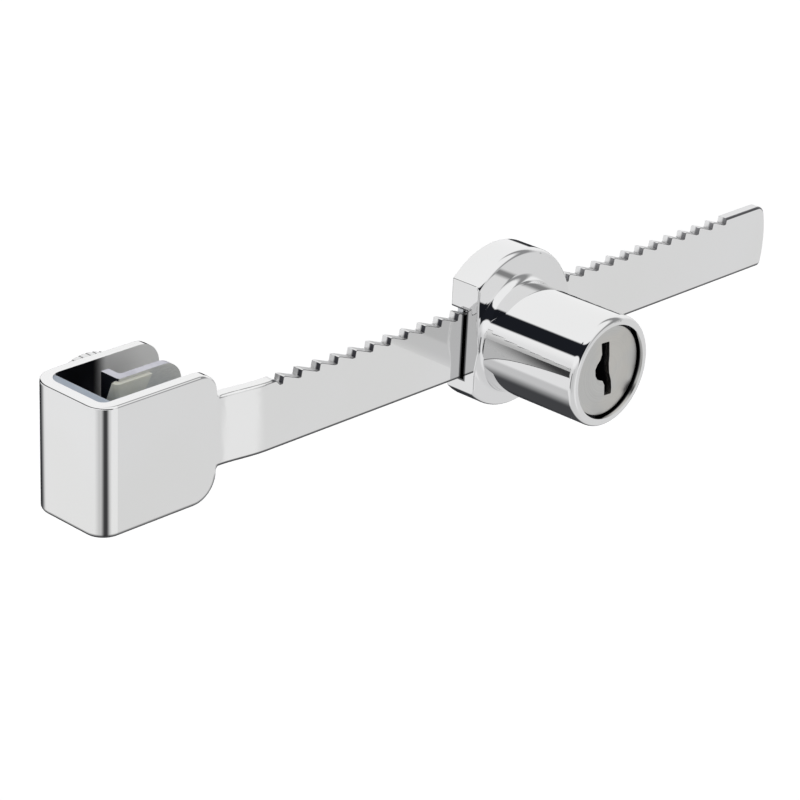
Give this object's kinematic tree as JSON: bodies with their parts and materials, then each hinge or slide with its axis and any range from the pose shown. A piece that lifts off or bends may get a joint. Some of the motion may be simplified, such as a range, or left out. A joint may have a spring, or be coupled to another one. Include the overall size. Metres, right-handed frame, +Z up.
{
  "type": "sliding glass door lock",
  "caption": "Ratchet lock for sliding glass doors: a no-drill screw clamp for the glass edge, a toothed chrome strip, and a keyed cylinder lock that slides and catches on it.",
  "frame": {"origin": "on the clamp liner's front pad, where the front face of the rear glass door rests, level with the lock cylinder's axis", "axes": "+X along the toothed strip from the clamp to its free end, +Y back through the glass, +Z up; the keyhole faces -Y"},
  "size_m": [0.1605, 0.0473, 0.0278],
  "materials": {
    "chrome_strip": "bright chrome over stamped steel",
    "chrome_housing": "bright chrome over zinc die casting",
    "chrome_screw": "bright chrome, knurled",
    "satin_plug": "satin nickel",
    "zinc_steel": "bright zinc plate",
    "nylon_liner": "translucent blue-grey nylon",
    "nylon_pad": "translucent natural nylon",
    "brass_wafer": "stamped brass",
    "spring_wire": "drawn wire",
    "pawl_steel": "hardened steel"
  },
  "bodies": {
    "bracket": {"ratchet_bracket": "chrome_strip", "clamp_liner": "nylon_liner", "clinch_nut": "zinc_steel"},
    "jaw": {"clamp_jaw": "zinc_steel", "jaw_pad": "nylon_pad", "thrust_washer": "nylon_pad"},
    "clamp_screw": {"clamp_screw": "chrome_screw", "screw_retaining_clip": "spring_wire"},
    "lock_body": {"lock_housing": "chrome_housing", "back_plate": "zinc_steel", "back_plate_screws": "zinc_steel", "pawl_springs": "spring_wire"},
    "plug": {"lock_plug": "satin_plug", "wafer_springs": "spring_wire", "lock_cam": "pawl_steel", "cam_washer": "zinc_steel", "cam_screw": "zinc_steel"},
    "pawl": {"pawl": "pawl_steel", "pawl_drive_pin": "pawl_steel"},
    "wafer_1": {"wafer_1": "brass_wafer"},
    "wafer_2": {"wafer_2": "brass_wafer"},
    "wafer_3": {"wafer_3": "brass_wafer"},
    "wafer_4": {"wafer_4": "brass_wafer"},
    "wafer_5": {"wafer_5": "brass_wafer"}
  },
  "joints": [
    {"name": "lock_slide", "type": "slide", "parent": "bracket", "child": "lock_body", "axis": [1, 0, 0], "range_m": [-0.044, 0.056]},
    {"name": "plug_turn", "type": "hinge", "parent": "lock_body", "child": "plug", "pos_m": [0.0748, -0.0235, 0], "axis": [0, 1, 0], "range_deg": [0, 90]},
    {"name": "pawl_drop", "type": "slide", "parent": "lock_body", "child": "pawl", "axis": [0, 0, -1], "range_m": [0, 0.0011], "deforming": ["pawl_springs"]},
    {"name": "clamp_screw_turn", "type": "hinge", "parent": "jaw", "child": "clamp_screw", "pos_m": [0.0023, 0.012, -0.0006], "axis": [0, -1, 0], "range_deg": [-1080, 720]},
    {"name": "jaw_slide", "type": "slide", "parent": "bracket", "child": "jaw", "axis": [0, -1, 0], "range_m": [-0.0024, 0.0016]},
    {"name": "wafer_1_slide", "type": "slide", "parent": "plug", "child": "wafer_1", "axis": [0, 0, 1], "range_m": [0, 0.0007], "deforming": ["wafer_springs"]},
    {"name": "wafer_2_slide", "type": "slide", "parent": "plug", "child": "wafer_2", "axis": [0, 0, -1], "range_m": [0, 0.0007]},
    {"name": "wafer_3_slide", "type": "slide", "parent": "plug", "child": "wafer_3", "axis": [0, 0, 1], "range_m": [0, 0.0007]},
    {"name": "wafer_4_slide", "type": "slide", "parent": "plug", "child": "wafer_4", "axis": [0, 0, -1], "range_m": [0, 0.0007]},
    {"name": "wafer_5_slide", "type": "slide", "parent": "plug", "child": "wafer_5", "axis": [0, 0, 1], "range_m": [0, 0.0007]}
  ],
  "couplings": [
    {"joint": "pawl_drop", "follows": "plug_turn", "m_per_rad": 0.00070028},
    {"joint": "jaw_slide", "follows": "clamp_screw_turn", "m_per_rad": 0.00012732},
    {"joint": "wafer_2_slide", "follows": "wafer_1_slide", "ratio": 1},
    {"joint": "wafer_3_slide", "follows": "wafer_1_slide", "ratio": 1},
    {"joint": "wafer_4_slide", "follows": "wafer_1_slide", "ratio": 1},
    {"joint": "wafer_5_slide", "follows": "wafer_1_slide", "ratio": 1}
  ]
}
